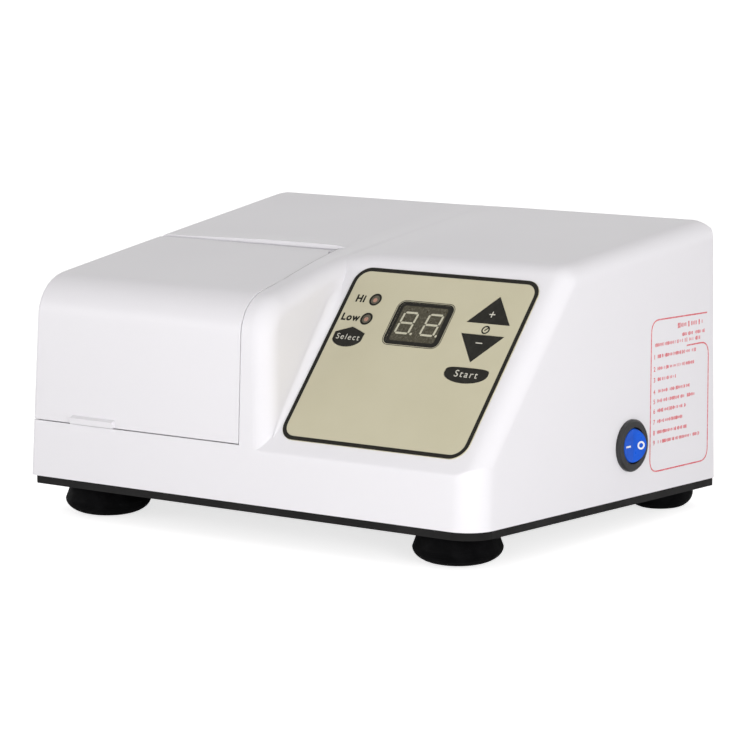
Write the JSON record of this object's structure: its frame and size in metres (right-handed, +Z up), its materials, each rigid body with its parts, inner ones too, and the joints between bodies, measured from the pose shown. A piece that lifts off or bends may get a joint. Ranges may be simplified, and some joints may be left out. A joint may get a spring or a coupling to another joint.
{
  "type": "dental amalgamator",
  "caption": "Benchtop dental capsule mixer: sloped membrane control panel beside a hinged lid over a wobbling capsule arm, on rubber feet.",
  "frame": {"origin": "centre of the bounding box, on the ground under the feet", "axes": "+X to the user's right, +Y to the rear, +Z up"},
  "size_m": [0.2546, 0.1912, 0.1293],
  "materials": {
    "white_shell": "gloss",
    "black_plate": "satin",
    "black_rubber": "matt",
    "steel": "satin",
    "liner_plastic": "satin",
    "membrane": "satin",
    "black_print": "satin",
    "smoked_window": "gloss",
    "black_plastic": "satin",
    "lamp_lens": "gloss",
    "circuit_board": "satin",
    "nylon": "satin",
    "blue_rocker": "gloss",
    "motor_grey": "satin",
    "cast_alloy": "satin",
    "brass_weight": "satin",
    "core_steel": "satin",
    "red_plastic": "satin"
  },
  "bodies": {
    "housing": {"cover": "white_shell", "base_plate": "black_plate", "front_feet": "black_rubber", "rear_feet": "black_rubber", "foot_screws": "steel", "cover_screws": "steel", "chamber_liner": "liner_plastic", "hinge_brackets": "steel", "hinge_pins": "steel", "hinge_screws": "steel", "control_overlay": "membrane", "display_window": "smoked_window", "display_module": "black_plastic", "led_lenses": "lamp_lens", "control_board": "circuit_board", "key_switches": "black_plastic", "board_standoffs": "nylon", "switch_bezel": "black_plastic", "power_inlet": "black_plastic", "inlet_pins": "steel", "inlet_screws": "steel", "fuse_holder": "black_plastic", "motor_body": "motor_grey", "motor_end_bell": "cast_alloy", "motor_bracket": "motor_grey", "motor_mount_bushes": "black_rubber", "lower_spring": "steel", "upper_spring": "steel", "spring_bracket": "motor_grey", "lid_switch": "black_plastic", "transformer": "core_steel"},
    "lid": {"lid": "white_shell"},
    "rocker": {"switch_rocker": "blue_rocker"},
    "up_key": {"key_up": "black_print"},
    "down_key": {"key_down": "black_print"},
    "select_key": {"key_select": "black_print"},
    "start_key": {"key_start": "black_print"},
    "rotor": {"rotor_shaft": "steel", "balance_weight": "brass_weight", "cooling_fan": "black_plastic"},
    "arm": {"mixing_arm": "cast_alloy", "journal_bearing": "steel", "capsule_clips": "steel"},
    "plunger": {"lid_switch_plunger": "red_plastic"},
    "fuse_holder_cap": {"fuse_cap": "black_plastic"}
  },
  "joints": [
    {"name": "lid_hinge", "type": "hinge", "parent": "housing", "child": "lid", "pos_m": [-0.0773, -0.00779, 0.11464], "axis": [-1, 0, 0], "range_deg": [0, 100]},
    {"name": "power_rocker", "type": "hinge", "parent": "housing", "child": "rocker", "pos_m": [0.1217, 0.01962, 0.03771], "axis": [0, 0.0326, 0.9995], "range_deg": [0, 24]},
    {"name": "up_key_press", "type": "slide", "parent": "housing", "child": "up_key", "axis": [0, 0.7447, -0.6674], "range_m": [0, 0.0004], "stiffness_N_per_m": 400},
    {"name": "down_key_press", "type": "slide", "parent": "housing", "child": "down_key", "axis": [0, 0.7447, -0.6674], "range_m": [0, 0.0004], "stiffness_N_per_m": 400},
    {"name": "select_key_press", "type": "slide", "parent": "housing", "child": "select_key", "axis": [0, 0.7447, -0.6674], "range_m": [0, 0.0004], "stiffness_N_per_m": 400},
    {"name": "start_key_press", "type": "slide", "parent": "housing", "child": "start_key", "axis": [0, 0.7447, -0.6674], "range_m": [0, 0.0004], "stiffness_N_per_m": 400},
    {"name": "motor_spin", "type": "hinge", "parent": "housing", "child": "rotor", "pos_m": [-0.0713, 0.02815, 0.07225], "axis": [1, 0, 0], "continuous": true},
    {"name": "arm_wobble", "type": "hinge", "parent": "rotor", "child": "arm", "pos_m": [-0.0713, 0.02815, 0.07225], "axis": [0.9951, 0.0032, 0.0993], "continuous": true},
    {"name": "interlock_plunger", "type": "slide", "parent": "housing", "child": "plunger", "axis": [0, 0.0326, 0.9995], "range_m": [0, 0.002]},
    {"name": "fuse_cap_turn", "type": "hinge", "parent": "housing", "child": "fuse_holder_cap", "pos_m": [0.0307, 0.08747, 0.0503], "axis": [0, 1, -0.0064], "range_deg": [0, 90]}
  ],
  "couplings": [
    {"joint": "arm_wobble", "follows": "motor_spin", "ratio": -1},
    {"joint": "interlock_plunger", "follows": "lid_hinge", "m_per_rad": 0.0011456}
  ]
}
